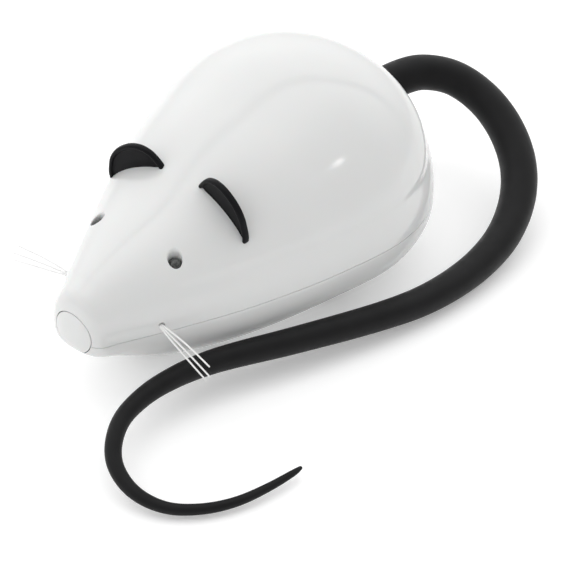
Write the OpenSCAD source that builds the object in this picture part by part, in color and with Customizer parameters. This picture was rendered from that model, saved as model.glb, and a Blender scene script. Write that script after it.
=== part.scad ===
// Clockwork mouse: glossy two-part moulded body over a spring motor that
// drives two rear wheels, with a rubber tail, ears, eyes and whiskers.
// Frame: +Z up, nose towards -Y, the mouse's left flank towards +X.
// Origin on the floor, in the middle plane, halfway along the body.

/* [Body] */
// Length of the body, nose tip to rump
body_l = 150; // [146:1:154]
// Wall thickness of both shells
wall = 2.2; // [2:0.1:2.4]
// Height of the parting line between the shells
part_z = 23.5; // [23.3:0.1:23.7]
// Depth of the soft crease round the upper shell
crease_d = 0.9; // [0:0.1:1.2]
// Roundness of the back, 2 is an ellipse
back_n = 2.2; // [2.1:0.05:2.3]
// Roundness of the belly, larger is squarer
belly_n = 2.9; // [2.7:0.1:3.1]

/* [Nose] */
// Radius of the nose button
nose_r = 6.9; // [6.7:0.05:7]
// Push travel of the nose button
nose_travel = 1.5; // [1:0.1:1.6]

/* [Ears and eyes] */
// Radius of an ear's rounded edge
ear_r = 11; // [10.5:0.1:11.5]
// Thickness of an ear at its rim
ear_t = 2.2; // [2:0.1:2.4]
// Radius of an eye bead
eye_r = 2; // [1.9:0.05:2.1]

/* [Tail] */
// Radius of the tail at its root
tail_root_r = 6.6; // [6.4:0.1:6.7]

/* [Clockwork] */
// Gear module, pitch diameter per tooth
gear_m = 0.8; // [0.8]
// Thickness of the two motor plates
plate_t = 1.2; // [1:0.1:1.4]
// Radius of the rear wheels over their tyres
wheel_r = 15; // [15]
// Radius of the front roller
roller_r = 8; // [8]

/* [Hidden] */
$fn = 48;

// ---- body surface -------------------------------------------------------
// Stations along the body: position, half width, top height, belly height.
// The first and last close the surface to a point.
stations = [
  [-75.0,  0.0, 21.5, 21.5],
  [-73.0,  8.8, 35.5, 18.2],
  [-66.0, 13.2, 40.2, 14.7],
  [-50.0, 22.4, 46.4,  6.8],
  [-28.0, 33.5, 53.2,  3.0],
  [  0.0, 44.0, 64.2,  2.6],
  [ 28.0, 50.0, 71.5,  2.0],
  [ 52.0, 44.5, 68.0,  8.6],
  [ 68.0, 26.5, 52.6, 16.0],
  [ 74.0,  7.6, 39.0, 23.6],
  [ 75.0,  0.0, 32.0, 32.0]];
NS = len(stations);
len_k = body_l / 150;

// Stations shrunk inwards by t, with a mirrored one beyond each end
function st(i, t) = let (s = stations[i], m = (i == 0 || i == NS - 1))
  [s[0] * len_k * (75 - t) / 75, m ? 0 : s[1] - t, m ? s[2] : s[2] - t, m ? s[3] : s[3] + t];
function mir(s, z) = [s[0], -s[1], 2 * z - s[2], 2 * z - s[3]];
function sta(t) = concat([mir(st(1, t), stations[0][2])], [for (i = [0:NS - 1]) st(i, t)],
  [mir(st(NS - 2, t), stations[NS - 1][2])]);
// Smooth curve through the stations
function cr(p0, p1, p2, p3, u) = 0.5 * (2 * p1 + (p2 - p0) * u
  + (2 * p0 - 5 * p1 + 4 * p2 - p3) * u * u + (3 * p1 - p0 - 3 * p2 + p3) * u * u * u);
function ring_at(S, i, u) = cr(S[i - 1], S[i], S[i + 1], S[i + 2], u);
function rings(t, m) = let (S = sta(t)) [for (i = [1:NS - 1], k = [0:m - 1])
  if (i > 1 || k > 0) ring_at(S, i, k / m)];
function clampv(v, a, b) = max(a, min(b, v));
function pw(v, e) = v <= 0 ? 0 : pow(v, e);
// Height of the crease at a place along the body
function crease_z(y) = y < 18 ? 35.5 : y < 40 ? 35.5 + 1.7 * pow((y - 18) / 22, 2)
  : 37.2 + 0.15 * (y - 40) + 0.034 * pow(y - 40, 2);
function crease_s(y) = y < 18 ? 1 : sqrt(1 + pow(y < 40 ? 0.155 * (y - 18) / 22 : 0.15 + 0.068 * (y - 40), 2));
function crease_in(x, y, z) = let (q = (z - crease_z(y)) / crease_s(y)) crease_d * exp(-pow(q / (q > 0 ? 4 : 7), 2))
  * clampv((y + 66) / 24, 0, 1) * clampv(abs(x) / 14, 0, 1);
function sec_pt(r, a, creased) = let (y = r[0], w = max(r[1], 0.01), zt = r[2], zb = r[3],
  ze = clampv(part_z, min(zb, zt), max(zb, zt)), up = sin(a) >= 0, n = up ? back_n : belly_n,
  x = w * sign(cos(a)) * pw(abs(cos(a)), 2 / n),
  z = up ? ze + (zt - ze) * pw(sin(a), 2 / n) : ze - (ze - zb) * pw(-sin(a), 2 / n),
  d = creased && up ? crease_in(x, y, z) : 0, cz = ze + 6,
  l = max(0.1, norm([x, z - cz])))
  [x - x / l * d, y, z - (z - cz) / l * d];
module body_solid(t = 0, m = 5, k = 48, creased = true) {
  R = rings(t, m);
  n = len(R);
  S = sta(t);
  pts = concat([[0, S[1][0], S[1][2]]],
    [for (r = R, j = [0:k - 1]) sec_pt(r, 360 * j / k, creased)],
    [[0, S[NS][0], S[NS][2]]]);
  last = n * k + 1;
  faces = concat(
    [for (j = [0:k - 1]) [0, 1 + (j + 1) % k, 1 + j]],
    [for (i = [0:n - 2], j = [0:k - 1]) let (a = 1 + i * k, b = a + k, q = (j + 1) % k) [a + j, b + q, b + j]],
    [for (i = [0:n - 2], j = [0:k - 1]) let (a = 1 + i * k, b = a + k, q = (j + 1) % k) [a + j, a + q, b + q]],
    [for (j = [0:k - 1]) let (a = 1 + (n - 1) * k) [last, a + j, a + (j + 1) % k]]);
  polyhedron(pts, faces, 8);
}
// Station values at any place along the body
function find_i(y, S, i = 1) = (i >= NS - 1 || S[i + 1][0] >= y) ? i : find_i(y, S, i + 1);
function find_u(y, S, i, a = 0, b = 1, n = 0) = n > 24 ? (a + b) / 2
  : let (c = (a + b) / 2) ring_at(S, i, c)[0] < y ? find_u(y, S, i, c, b, n + 1) : find_u(y, S, i, a, c, n + 1);
function ring_y(y) = let (S = sta(0), i = find_i(y, S)) ring_at(S, i, find_u(y, S, i));
function top_z(x, y) = let (r = ring_y(y)) part_z + (r[2] - part_z) * pw(1 - pw(abs(x) / r[1], back_n), 1 / back_n);
function unit(v) = v / norm(v);
function top_n(x, y) = unit([-(top_z(x + 0.5, y) - top_z(x - 0.5, y)), -(top_z(x, y + 0.5) - top_z(x, y - 0.5)), 1]);
function side_x(y, z) = let (r = ring_y(y)) r[1] * pw(1 - pw((z - part_z) / (r[2] - part_z), back_n), 1 / back_n);
// Turns the Z axis onto a direction
module along(n) { rotate([0, acos(n[2] / norm(n)), atan2(n[1], n[0])]) children(); }
module meshed() { resize([0, 0, 0]) children(); }
module sides() { for (s = [1, -1]) scale([1, 1, 1]) mirror([s < 0 ? 1 : 0, 0, 0]) children(); }
module xcyl(r, x0, x1, y, z, f = 32) { translate([x0, y, z]) rotate([0, 90, 0]) cylinder(r = r, h = x1 - x0, $fn = f); }
module ycyl(r, y0, y1, x, z, f = 32) { translate([x, y0, z]) rotate([-90, 0, 0]) cylinder(r = r, h = y1 - y0, $fn = f); }

// ---- places -------------------------------------------------------------
nose_z = 25.5;
eye_xy = [15.4, -45.6];
ear_in = [7, -23.9];
ear_out = [27.6, -26.6];
ear_lean = [0.35, -0.15, 0.89];
whisker_yz = [-56, 26.3];
tail_n = unit([0, 20, 1]);
tail_c = [0, 74, 33.6];
bosses = [[17, -31.5], [24, 55]];
feet_y = [5, 43];
foot_x = 16;

// Arbors of the wheel train, as places along the body and heights
C_ax = [24, 15];
d1 = (36 + 12) / 2 * gear_m + 0.1;
d2 = (48 + 12) / 2 * gear_m + 0.1;
function off(p, d, a) = [p[0] + d * cos(a), p[1] + d * sin(a)];
B_ax = off(C_ax, d1, 105);
A_ax = off(B_ax, d2, 5);
D_ax = off(B_ax, d1, 165);
E_ax = off(D_ax, d1, 200);
brake_ax = [-31, 43];
pillar_at = [[-18, 44], [-2, 19], [46, 13.2], [22, 52]];
plate_x = 12;
wheel_x = [25.5, 32.5];

// ---- gears --------------------------------------------------------------
function inv_pt(rb, t) = [rb * (cos(t) + t * PI / 180 * sin(t)), rb * (sin(t) - t * PI / 180 * cos(t))];
function inv_ang(rb, r) = r <= rb ? 0 : sqrt(pow(r / rb, 2) - 1) * 180 / PI;
function pol(p) = [norm(p), atan2(p[1], p[0])];
function tooth_half(r, rb, rp, n, bl) = let (a = pol(inv_pt(rb, inv_ang(rb, r)))[1], ap = pol(inv_pt(rb, inv_ang(rb, rp)))[1])
  90 / n - bl - (a - ap);
// Gear outline: n teeth, first tooth centred at angle ph
module gear2d(n, ph, add = 0.85, bl_mm = 0.1, steps = 4) {
  rp = n * gear_m / 2;
  rb = rp * cos(20);
  ra = rp + add * gear_m;
  rf = rp - 1.25 * gear_m;
  bl = bl_mm / rp * 90 / PI;
  rs = [for (k = [0:steps]) let (r0 = max(rb, rf)) r0 + (ra - r0) * k / steps];
  polygon([for (i = [0:n - 1]) let (c = ph + i * 360 / n) each concat(
    [let (h = tooth_half(rs[0], rb, rp, n, bl)) rf * [cos(c - h - 1), sin(c - h - 1)]],
    [for (r = rs) let (h = tooth_half(r, rb, rp, n, bl)) r * [cos(c - h), sin(c - h)]],
    [for (k = [steps:-1:0]) let (r = rs[k], h = tooth_half(r, rb, rp, n, bl)) r * [cos(c + h), sin(c + h)]],
    [let (h = tooth_half(rs[0], rb, rp, n, bl)) rf * [cos(c + h + 1), sin(c + h + 1)]])]);
}
// A flat wheel in the plane across X, from x0 to x1, centred on an arbor
module in_yz(p, x0, x1) { translate([x0, p[0], p[1]]) rotate([90, 0, 90]) linear_extrude(x1 - x0) children(); }
// Phases that put the pairs in mesh: tooth on the follower, gap on the driver
function mesh_ph(n1, ph1, n2, a) = let (t1 = (a - ph1) * n1 / 360, f = t1 - floor(t1), s = (0.5 - f) * 360 / n2) a + 180 + s * -1 + 0;

ph_second_gear = 0;
// axle pinion meshes with the second gear, and so on along the train
ph_axle = mesh_ph(36, ph_second_gear, 12, 105 + 180);
ph_second_pinion = 0;
ph_great = mesh_ph(12, ph_second_pinion, 48, 5);
ph_third_pinion = mesh_ph(36, ph_second_gear, 12, 165);
ph_third_gear = 0;
ph_governor = mesh_ph(36, ph_third_gear, 12, 200);

// ---- shells -------------------------------------------------------------
module eye_cut() {
  translate([eye_xy[0], eye_xy[1], top_z(eye_xy[0], eye_xy[1])]) {
    translate([0, 0, -12]) cylinder(r = 2.15, h = 24, $fn = 32);
    translate([0, 0, -0.4]) cylinder(r1 = 2.15, r2 = 3.6, h = 2.2, $fn = 32);
  }
}
module ear_frame(s = 0) {
  a = [ear_in[0], ear_in[1], top_z(ear_in[0], ear_in[1])];
  b = [ear_out[0], ear_out[1], top_z(ear_out[0], ear_out[1])];
  u = unit(b - a);
  h0 = unit(ear_lean);
  h = unit(h0 - u * (h0 * u));
  w = cross(u, h);
  c = (a + b) / 2;
  multmatrix([[u[0], h[0], w[0], c[0]], [u[1], h[1], w[1], c[1]], [u[2], h[2], w[2], c[2]], [0, 0, 0, 1]]) children();
}
module ear_pegs(r, y0, y1) {
  ear_frame() for (x = [-5.8, 5]) translate([x, y0, 0]) rotate([-90, 0, 0]) cylinder(r = r, h = y1 - y0, $fn = 20);
}
// Slots that the whiskers come out of
module whisker_slots() {
  for (s = [1, -1]) hull() for (dy = [-0.5, 0.5])
    xcyl(1, s > 0 ? 8 : -30, s > 0 ? 30 : -8, whisker_yz[0] + dy, whisker_yz[1], 16);
}
module upper_cuts() {
  ycyl(nose_r + 0.15, -80, -60, 0, nose_z, 48);
  sides() eye_cut();
  sides() ear_pegs(1.3, -9, 3);
  whisker_slots();
  translate(tail_c) along(tail_n) translate([0, 0, -10]) cylinder(r = tail_root_r + 0.25, h = 30, $fn = 48);
  xcyl(4.15, -60, -40, A_ax[0], A_ax[1], 32);
}
module upper_shell() {
  color("white") meshed() difference() {
    union() {
      difference() {
        body_solid(0, 5, 48);
        body_solid(wall, 3, 32, false);
      }
      intersection() {
        body_solid(0.6, 3, 32, false);
        union() {
          ycyl(8.6, -74, -68.8, 0, nose_z, 32);
          sides() for (b = bosses) translate([b[0], b[1], 23]) cylinder(r = 3, h = 60, $fn = 20);
          translate(tail_c) along(tail_n) translate([0, 0, -4]) cylinder(r = 9.6, h = 12, $fn = 32);
          xcyl(6, -60, -43, A_ax[0], A_ax[1], 24);
        }
      }
    }
    translate([-100, -100, -50]) cube([200, 200, 50 + part_z]);
    upper_cuts();
    sides() for (b = bosses) translate([b[0], b[1], 20]) cylinder(r = 1.1, h = 14, $fn = 12);
  }
}
module lower_shell() {
  color("white") meshed() difference() {
    union() {
      intersection() {
        difference() {
          body_solid(0, 5, 48);
          body_solid(wall, 3, 32, false);
        }
        translate([-100, -100, -50]) cube([200, 200, 50 + part_z - 0.15]);
      }
      // locating tongue inside the upper shell
      intersection() {
        difference() {
          union() {
            body_solid(wall + 0.35, 3, 32, false);
            intersection() {
              body_solid(wall - 0.25, 3, 32, false);
              translate([-100, -100, -50]) cube([200, 200, 50 + part_z - 0.15]);
            }
          }
          body_solid(wall + 1.35, 3, 32, false);
        }
        translate([-100, -66, part_z - 3]) cube([200, 130, 4.6]);
      }
      intersection() {
        body_solid(0.6, 3, 32, false);
        union() {
          difference() {
            ycyl(8.6, -74, -68.8, 0, nose_z, 32);
            translate([-50, -100, part_z - 0.15]) cube([100, 100, 50]);
          }
          sides() for (b = bosses) translate([b[0], b[1], 0]) cylinder(r = 3, h = part_z - 0.15, $fn = 20);
          sides() for (y = feet_y) translate([foot_x, y, 0]) cylinder(r = 3, h = 10, $fn = 20);
          // lugs for the front roller's axle
          for (x = [-7.6, 5]) translate([x, -42, 4]) cube([2.6, 8, 9]);
          // guide post for the push rod
          translate([-4.5, -52, 4]) cube([6, 3, 24.5]);
          // walls beside the wheel slots
          sides() translate([22.6, 5.5, 1]) cube([1.6, 37, 10]);
        }
      }
    }
    ycyl(nose_r + 0.15, -80, -60, 0, nose_z, 48);
    // room for the nose button's flange
    ycyl(7.75, -68.7, -61, 0, nose_z, 40);
    sides() translate([24.6, 24 - 16.6, -5]) cube([8.8, 33.2, 17]);
    translate([-4.8, -38 - 9.6, -5]) cube([9.6, 19.2, 17]);
    xcyl(1.03, -12, 12, -38, roller_r);
    ycyl(1.5, -60, -40, -1.5, nose_z, 16);
    sides() for (b = bosses) translate([b[0], b[1], 0]) {
      cylinder(r = 1.5, h = 40, $fn = 16);
      cylinder(r = 2.6, h = b[1] < 0 ? 9 : 15, $fn = 16);
    }
    sides() for (y = feet_y) translate([foot_x, y, 7]) cylinder(r = 0.85, h = 10, $fn = 12);
    // the tongue stops short of the screws' bosses and the key arbor
    whisker_slots();
    sides() translate([12, -60, part_z - 0.1]) cube([15, 6, 5]);
  }
}

// ---- nose and brake -----------------------------------------------------
module nose_button() {
  color("white") meshed() union() {
    intersection() {
      body_solid(0, 5, 48);
      ycyl(nose_r, -80, -69, 0, nose_z, 64);
    }
    difference() {
      union() {
        ycyl(nose_r, -71, -68.1, 0, nose_z, 64);
        ycyl(7.5, -68.4, -67.2, 0, nose_z, 32);
        ycyl(2.6, -67.5, -64, -1.5, nose_z, 24);
      }
      ycyl(1.2, -66, -60, -1.5, nose_z, 24);
    }
  }
}
module push_rod() { color("silver") ycyl(1.2, -66, -32.4, -1.5, nose_z); }
// Return spring round the rod
module nose_spring() {
  r = 2.1; wr = 0.3; turns = 6; n = 14; m = 6; y0 = -63.5; y1 = -54.5;
  N = turns * n;
  pts = [for (i = [0:N], j = [0:m - 1]) let (a = 360 * i / n, b = 360 * j / m, q = r + wr * cos(b))
    [-1.5 + q * cos(a), y0 + (y1 - y0) * i / N + wr * sin(b), nose_z + q * sin(a)]];
  faces = concat([[for (j = [m - 1:-1:0]) j]],
    [for (i = [0:N - 1], j = [0:m - 1]) let (q = (j + 1) % m) [i * m + j, i * m + q, (i + 1) * m + q, (i + 1) * m + j]],
    [[for (j = [0:m - 1]) N * m + j]]);
  color("silver") polyhedron(pts, faces, 8);
}
module brake_lever() {
  color("silver") difference() {
    in_yz([0, 0], -3, 0) polygon(concat([for (a = [-30:15:210]) [-31 + 2.4 * cos(a), 43 + 2.4 * sin(a)]],
      [[-32, 23.6], [-29.6, 23.6], [-29.6, 36]]));
    xcyl(1.05, -5, 5, -31, 43);
  }
}
module brake_pad() { color("dimgray") translate([-3, -29.52, 29.5]) cube([3, 1.3, 5]); }
module brake_pin() { color("silver") xcyl(1, -plate_x - plate_t - 0.6, plate_x + plate_t + 0.6, -31, 43); }

// ---- ears, eyes, whiskers -----------------------------------------------
module ear() {
  color([0.09, 0.09, 0.1]) meshed() union() {
    difference() {
      ear_frame() difference() {
        translate([-0.3, -0.1, -ear_t / 2]) intersection() {
          scale([1.045, 0.936, 1]) cylinder(r = ear_r, h = ear_t, $fn = 72);
          translate([-20, -4, -1]) cube([40, 40, 10]);
        }
        // the hollow of the ear faces the nose
        translate([-0.3, -0.1, ear_t / 2 - 0.7]) scale([1.045, 0.936, 1]) cylinder(r = ear_r - 1.4, h = 2, $fn = 60);
      }
      body_solid(0, 5, 48);
    }
    difference() {
      ear_pegs(1.2, -7, 2.4);
      ear_frame() translate([-20, 0.4, 0.3]) cube([40, 20, 10]);
      ear_frame() translate([-20, 0.2, -11]) cube([40, 20, 10]);
    }
  }
}
module ear_left() { ear(); }
module ear_right() { mirror([1, 0, 0]) ear(); }
module ear_clips() {
  color("silver") sides() ear_frame() for (x = [-5.8, 5]) translate([x, -6.6, 0]) rotate([-90, 0, 0]) difference() {
    cylinder(r = 2.6, h = 0.5);
    translate([0, 0, -1]) cylinder(r = 1.2, h = 3);
  }
}
module eye_place() {
  translate([eye_xy[0], eye_xy[1], top_z(eye_xy[0], eye_xy[1]) - 0.75]) children();
}
module eye() {
  color([0.12, 0.14, 0.13]) eye_place() union() {
    translate([0, 0, -10]) cylinder(r = eye_r, h = 8);
    translate([0, 0, -2]) intersection() {
      sphere(r = eye_r);
      translate([-5, -5, -0.5]) cube([10, 10, 5]);
    }
  }
}
module eye_left() { eye(); }
module eye_right() { mirror([1, 0, 0]) eye(); }
module eye_washers() {
  color("silver") sides() eye_place() translate([0, 0, -9.6]) difference() {
    cylinder(r = 3.2, h = 0.6);
    translate([0, 0, -1]) cylinder(r = eye_r, h = 3);
  }
}
wh_left = [[0.93, -0.15, -0.33], [0.95, -0.14, -0.25], [0.98, -0.12, -0.15]];
wh_right = [[0.985, -0.12, -0.13], [0.985, -0.11, -0.03], [0.97, -0.09, 0.1]];
wh_len = [23, 23.6, 22];
module whiskers(dirs) {
  color("white") for (i = [0:2]) translate([17.2, whisker_yz[0] + 0.5 * (i - 1), whisker_yz[1]])
    along(dirs[i]) cylinder(r = 0.26, h = wh_len[i], $fn = 16);
}
module whiskers_left() { whiskers(wh_left); }
module whiskers_right() { mirror([1, 0, 0]) whiskers(wh_right); }
module whisker_plugs() {
  color("gainsboro") for (s = [1, -1]) union() {
    xcyl(1.5, s > 0 ? 11 : -13.8, s > 0 ? 13.8 : -11, whisker_yz[0], whisker_yz[1]);
    xcyl(0.9, s > 0 ? 13.5 : -17.5, s > 0 ? 17.5 : -13.5, whisker_yz[0], whisker_yz[1]);
  }
}

// ---- tail ---------------------------------------------------------------
// Route of the tail's centre line, with its radius at each place
tail_pts = [
  [0, 67.8, 33.1, tail_root_r - 0.2], [0, 71, 33.3, tail_root_r - 0.1], [0, 75.5, 33.7, tail_root_r],
  [1.3, 83, 34.4, 6.6], [4.2, 90.8, 35.8, 6.6], [9.2, 98.2, 36.7, 6.45], [18.6, 104.9, 34.7, 6.35],
  [30.9, 106.1, 30, 6.4], [43.1, 102, 24.2, 6.45], [53.6, 93.6, 18.1, 6.4], [60.6, 82.1, 12.4, 6.2],
  [64.6, 67, 8.2, 5.8], [65.2, 51.4, 6.2, 5.4], [63.6, 36, 5.7, 5.1], [60.4, 21.5, 6.1, 4.85],
  [55.9, 8.1, 7.3, 4.6], [50.9, -3.9, 8.4, 4.45], [45.6, -15.6, 9.5, 4.3], [40.5, -26.5, 10.5, 4.15],
  [34.8, -37.4, 11.3, 3.95], [29.9, -47.9, 12, 3.7], [26.2, -58.8, 12.2, 3.35], [24.2, -70.4, 12, 3],
  [24.9, -82, 10.5, 2.7], [30.9, -91.6, 7.6, 2.45], [40.5, -95.2, 4.6, 2.1], [50.7, -93.4, 2.9, 1.75],
  [58.9, -87.4, 2.5, 1.6], [65.1, -79.1, 2.6, 1.45], [69, -69.5, 2.9, 1.25], [71.2, -61.1, 3, 1],
  [71.7, -58, 3, 0.6]];
NT = len(tail_pts);
function tp(i) = tail_pts[clampv(i, 0, NT - 1)];
function tail_at(i, u) = cr(tp(i - 1), tp(i), tp(i + 1), tp(i + 2), u);
tail_sub = 2;
tail_c_pts = concat([for (i = [0:NT - 2], k = [0:tail_sub - 1]) tail_at(i, k / tail_sub)], [tail_pts[NT - 1]]);
function v3(p) = [p[0], p[1], p[2]];
module tail() {
  k = 12;
  P = tail_c_pts;
  n = len(P);
  pts = [for (i = [0:n - 1], j = [0:k - 1]) let (t = unit(v3(P[min(i + 1, n - 1)]) - v3(P[max(i - 1, 0)])),
    sd = unit(cross([0, 0, 1], t)), up = cross(t, sd), a = 360 * j / k) v3(P[i]) + P[i][3] * (cos(a) * sd + sin(a) * up)];
  faces = concat([[for (j = [0:k - 1]) j]],
    [for (i = [0:n - 2], j = [0:k - 1]) let (q = (j + 1) % k) [i * k + j, (i + 1) * k + q, i * k + q]],
    [for (i = [0:n - 2], j = [0:k - 1]) let (q = (j + 1) % k) [i * k + j, (i + 1) * k + j, (i + 1) * k + q]],
    [[for (j = [k - 1:-1:0]) (n - 1) * k + j]]);
  color([0.07, 0.07, 0.08]) meshed() union() {
    polyhedron(pts, faces, 8);
    translate(tail_c) along(tail_n) translate([0, 0, -6.6]) cylinder(r = 8.4, h = 2.4, $fn = 32);
  }
}
// Cap that holds the tail's flange inside the shell
module tail_collar() {
  color("gainsboro") meshed() intersection() {
    translate(tail_c) along(tail_n) translate([0, 0, -8.6]) difference() {
      cylinder(r = 9.6, h = 4.6);
      translate([0, 0, 1.8]) cylinder(r = 8.5, h = 6);
      translate([0, 0, -1]) cylinder(r = 3.2, h = 6);
    }
    body_solid(wall + 0.3, 3, 32, false);
  }
}

// ---- motor frame --------------------------------------------------------
plate_out = [[-35, 38], [-35, 44], [-33, 46], [-20, 48], [-8, 52], [30, 56], [48, 56], [58, 49], [60, 40],
  [60, 28], [54, 14.5], [43.5, 8.8], [38, 8.8], [-6, 8.8], [-8, 14], [-24, 22.5], [-28, 34]];
module plate(side) {
  x0 = side > 0 ? plate_x : -plate_x - plate_t;
  color("silver") difference() {
    union() {
      in_yz([0, 0], x0, x0 + plate_t) polygon(plate_out);
      for (y = feet_y) translate([side > 0 ? plate_x : -19.5, y - 3.5, 10]) cube([7.5, 7, plate_t]);
    }
    for (p = [B_ax, D_ax, E_ax]) xcyl(1.05, -30, 30, p[0], p[1]);
    xcyl(2.05, -30, 30, A_ax[0], A_ax[1]);
    xcyl(1.55, -30, 30, C_ax[0], C_ax[1]);
    xcyl(1, -30, 30, brake_ax[0], brake_ax[1]);
    for (p = pillar_at) xcyl(1.05, -30, 30, p[0], p[1]);
    for (y = feet_y) translate([side * foot_x, y, 0]) cylinder(r = 1.1, h = 30);
    in_yz([33, 22], -30, 30) circle(r = 4);
    in_yz([6, 22], -30, 30) circle(r = 4);
  }
}
module motor_plate_left() { plate(1); }
module motor_plate_right() { plate(-1); }
module pillars() {
  color("silver") for (p = pillar_at) difference() {
    xcyl(2, -plate_x, plate_x, p[0], p[1]);
    xcyl(0.9, -plate_x - 1, -plate_x + 5, p[0], p[1], 24);
    xcyl(0.9, plate_x - 5, plate_x + 1, p[0], p[1], 24);
  }
}
module frame_screws() {
  color("gray") for (p = pillar_at, s = [1, -1]) mirror([s < 0 ? 1 : 0, 0, 0]) difference() {
    union() {
      xcyl(0.9, plate_x - 4, plate_x + plate_t, p[0], p[1], 24);
      xcyl(1.7, plate_x + plate_t, plate_x + plate_t + 1, p[0], p[1], 24);
    }
    translate([plate_x + plate_t + 0.6, p[0] - 3, p[1] - 0.2]) cube([2, 6, 0.4]);
  }
}
module mounting_screws() {
  color("gray") sides() for (y = feet_y) translate([foot_x, y, 0]) difference() {
    union() {
      translate([0, 0, 7.2]) cylinder(r = 0.85, h = 4, $fn = 24);
      translate([0, 0, 10 + plate_t]) cylinder(r = 2, h = 1.2, $fn = 24);
    }
    translate([-3, -0.25, 10 + plate_t + 0.7]) cube([6, 0.5, 2]);
  }
}

// ---- wheel train --------------------------------------------------------
spring_turns = 7;
spring_r0 = 3.4;
spring_r1 = 13.4;
module mainspring() {
  t = 0.2;
  n = spring_turns * 24;
  e = [pillar_at[3][0] - A_ax[0], pillar_at[3][1] - A_ax[1]];
  a0 = atan2(e[1], e[0]) - 80;
  path = concat([for (i = [0:n]) let (a = 15 * i + a0, r = spring_r0 + (spring_r1 - spring_r0) * i / n) r * [cos(a), sin(a)]],
    [for (a = [-60:20:180]) e + 2.3 * [cos(a + a0 + 80), sin(a + a0 + 80)]]);
  m = len(path);
  function nrm(i) = let (d = unit(path[min(i + 1, m - 1)] - path[max(i - 1, 0)])) [-d[1], d[0]];
  color("slategray") in_yz(A_ax, -7.3, -0.3)
    polygon(concat([for (i = [0:m - 1]) path[i] + t * nrm(i)], [for (i = [m - 1:-1:0]) path[i] - t * nrm(i)]));
}
module winding_arbor() {
  color("silver") union() {
    xcyl(2, -35, plate_x + plate_t + 1, A_ax[0], A_ax[1]);
    translate([-40.5, A_ax[0] - 1.4, A_ax[1] - 1.4]) cube([5.6, 2.8, 2.8]);
  }
}
module ratchet_wheel() {
  color("goldenrod") in_yz(A_ax, -9.2, -7.8) difference() {
    polygon([for (i = [0:11]) each [6.4 * [cos(30 * i), sin(30 * i)], 5 * [cos(30 * i + 3), sin(30 * i + 3)]]]);
    circle(r = 2);
  }
}
module click() {
  color("silver") in_yz(A_ax, -9.2, -7.9) difference() {
    polygon(concat([for (a = [-60:15:135]) [3 + 1.7 * cos(a), 10.5 + 1.7 * sin(a)]],
      [[-2.6, 7], [-2.1, 5.7], [2.6, 8.6]]));
    translate([3, 10.5]) circle(r = 0.8);
  }
}
module click_pin() { color("silver") xcyl(0.8, -11, -7.9, A_ax[0] + 3, A_ax[1] + 10.5); }
module great_wheel() {
  color("goldenrod") in_yz(A_ax, -11, -9.4) difference() {
    gear2d(48, ph_great);
    circle(r = 2.05);
    translate([3, 10.5]) circle(r = 0.8);
    for (a = [0:90:270]) rotate(a + 20) translate([11.6, 0]) circle(r = 3.4);
  }
}
module second_arbor() { color("silver") xcyl(1, -plate_x - plate_t - 0.4, plate_x + plate_t + 0.4, B_ax[0], B_ax[1]); }
module second_pinion() { color("goldenrod") in_yz(B_ax, -11.3, -8.9) difference() { gear2d(12, ph_second_pinion); circle(r = 1); } }
module second_gear() {
  color("goldenrod") in_yz(B_ax, 1, 2.6) difference() {
    gear2d(36, ph_second_gear);
    circle(r = 1);
    for (a = [0:72:288]) rotate(a) translate([8, 0]) circle(r = 3);
  }
}
module third_arbor() { color("silver") xcyl(1, -plate_x - plate_t - 0.4, plate_x + plate_t + 0.4, D_ax[0], D_ax[1]); }
module third_pinion() { color("goldenrod") in_yz(D_ax, 0.6, 3) difference() { gear2d(12, ph_third_pinion); circle(r = 1); } }
module third_gear() {
  color("goldenrod") in_yz(D_ax, 6, 7.6) difference() {
    gear2d(36, ph_third_gear);
    circle(r = 1);
    for (a = [0:72:288]) rotate(a) translate([8, 0]) circle(r = 3);
  }
}
module governor_arbor() { color("silver") xcyl(1, -plate_x - plate_t - 0.4, plate_x + plate_t + 0.4, E_ax[0], E_ax[1]); }
module governor_pinion() { color("goldenrod") in_yz(E_ax, 5.6, 8) difference() { gear2d(12, ph_governor); circle(r = 1); } }
module flywheel() {
  color("goldenrod") translate([-6, E_ax[0], E_ax[1]]) rotate([0, 90, 0]) rotate_extrude()
    polygon([[1, 0], [3, 0], [3, 3], [7, 3], [7, 0], [9, 0], [9, 9], [7, 9], [7, 6], [3, 6], [3, 9], [1, 9]]);
}
module drive_axle() { color("silver") xcyl(1.5, -34, 34, C_ax[0], C_ax[1]); }
module axle_pinion() { color("goldenrod") in_yz(C_ax, 0.6, 3) difference() { gear2d(12, ph_axle); circle(r = 1.5); } }
module wheel() {
  color("white") translate([wheel_x[0], C_ax[0], C_ax[1]]) rotate([0, 90, 0]) difference() {
    rotate_extrude() polygon([[1.5, -1.5], [4, -1.5], [4, 2], [9.5, 2], [9.5, 0], [12, 0], [12, 7], [9.5, 7],
      [9.5, 4.5], [4, 4.5], [4, 7], [1.5, 7]]);
    for (a = [0:60:300]) rotate(a) translate([6.8, 0, 0]) cylinder(r = 1.7, h = 10, $fn = 24);
  }
}
module wheel_left() { wheel(); }
module wheel_right() { mirror([1, 0, 0]) wheel(); }
module tyre() {
  color([0.1, 0.1, 0.1]) translate([wheel_x[0], C_ax[0], C_ax[1]]) rotate([0, 90, 0]) rotate_extrude()
    polygon([[12, 0.3], [14.4, 0.3], [15, 1], [15, 2.2], [14.6, 2.4], [14.6, 2.9], [15, 3.1], [15, 3.9], [14.6, 4.1],
      [14.6, 4.6], [15, 4.8], [15, 6], [14.4, 6.7], [12, 6.7]]);
}
module tyre_left() { tyre(); }
module tyre_right() { mirror([1, 0, 0]) tyre(); }
module axle_caps() {
  color("silver") sides() translate([wheel_x[1] + 0.1, C_ax[0], C_ax[1]]) rotate([0, 90, 0]) difference() {
    cylinder(r = 2.6, h = 0.8);
    translate([0, 0, -1]) cylinder(r = 1.5, h = 3);
  }
}
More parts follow.
